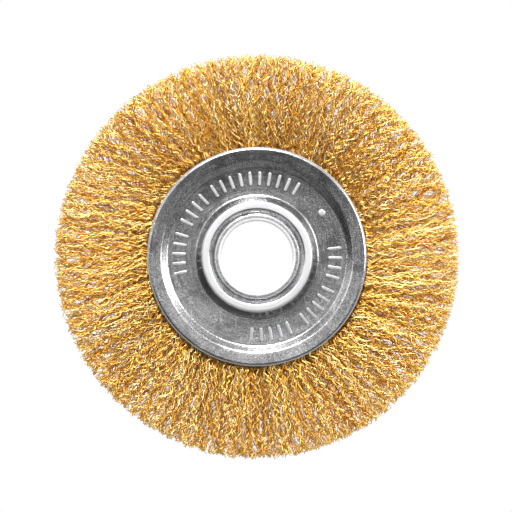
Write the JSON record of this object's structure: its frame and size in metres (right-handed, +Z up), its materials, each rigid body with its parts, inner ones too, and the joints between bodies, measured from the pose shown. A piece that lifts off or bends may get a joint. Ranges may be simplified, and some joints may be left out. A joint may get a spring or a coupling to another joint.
{
  "type": "crimped wire wheel brush",
  "caption": "Flat disc brush of crimped brass-coloured wire, clamped between two dished steel face plates round an open arbor hole, for a grinder spindle.",
  "frame": {"origin": "middle of the arbor bore, on the brush's mid-plane", "axes": "+Y along the wheel's axis, away from the front face plate, which looks along -Y; +Z is up"},
  "size_m": [0.125, 0.014, 0.125],
  "materials": {
    "plate_zinc": "zinc plated stamped sheet, satin and slightly mottled",
    "sleeve_zinc": "zinc plated, burnished where it is swaged",
    "hoop_steel": "plain drawn steel wire",
    "brass_wire": "bright brass-coated crimped wire"
  },
  "bodies": {
    "root": {"front_face_plate": "plate_zinc", "rear_face_plate": "plate_zinc", "arbor_sleeve": "sleeve_zinc", "retaining_hoop": "hoop_steel", "wire_bundle_01": "brass_wire", "wire_bundle_02": "brass_wire", "wire_bundle_03": "brass_wire", "wire_bundle_04": "brass_wire", "wire_bundle_05": "brass_wire", "wire_bundle_06": "brass_wire", "wire_bundle_07": "brass_wire", "wire_bundle_08": "brass_wire", "wire_bundle_09": "brass_wire", "wire_bundle_10": "brass_wire", "wire_bundle_11": "brass_wire", "wire_bundle_12": "brass_wire", "wire_bundle_13": "brass_wire", "wire_bundle_14": "brass_wire", "wire_bundle_15": "brass_wire", "wire_bundle_16": "brass_wire", "wire_bundle_17": "brass_wire", "wire_bundle_18": "brass_wire", "wire_bundle_19": "brass_wire", "wire_bundle_20": "brass_wire", "wire_bundle_21": "brass_wire", "wire_bundle_22": "brass_wire", "wire_bundle_23": "brass_wire", "wire_bundle_24": "brass_wire"}
  },
  "joints": []
}
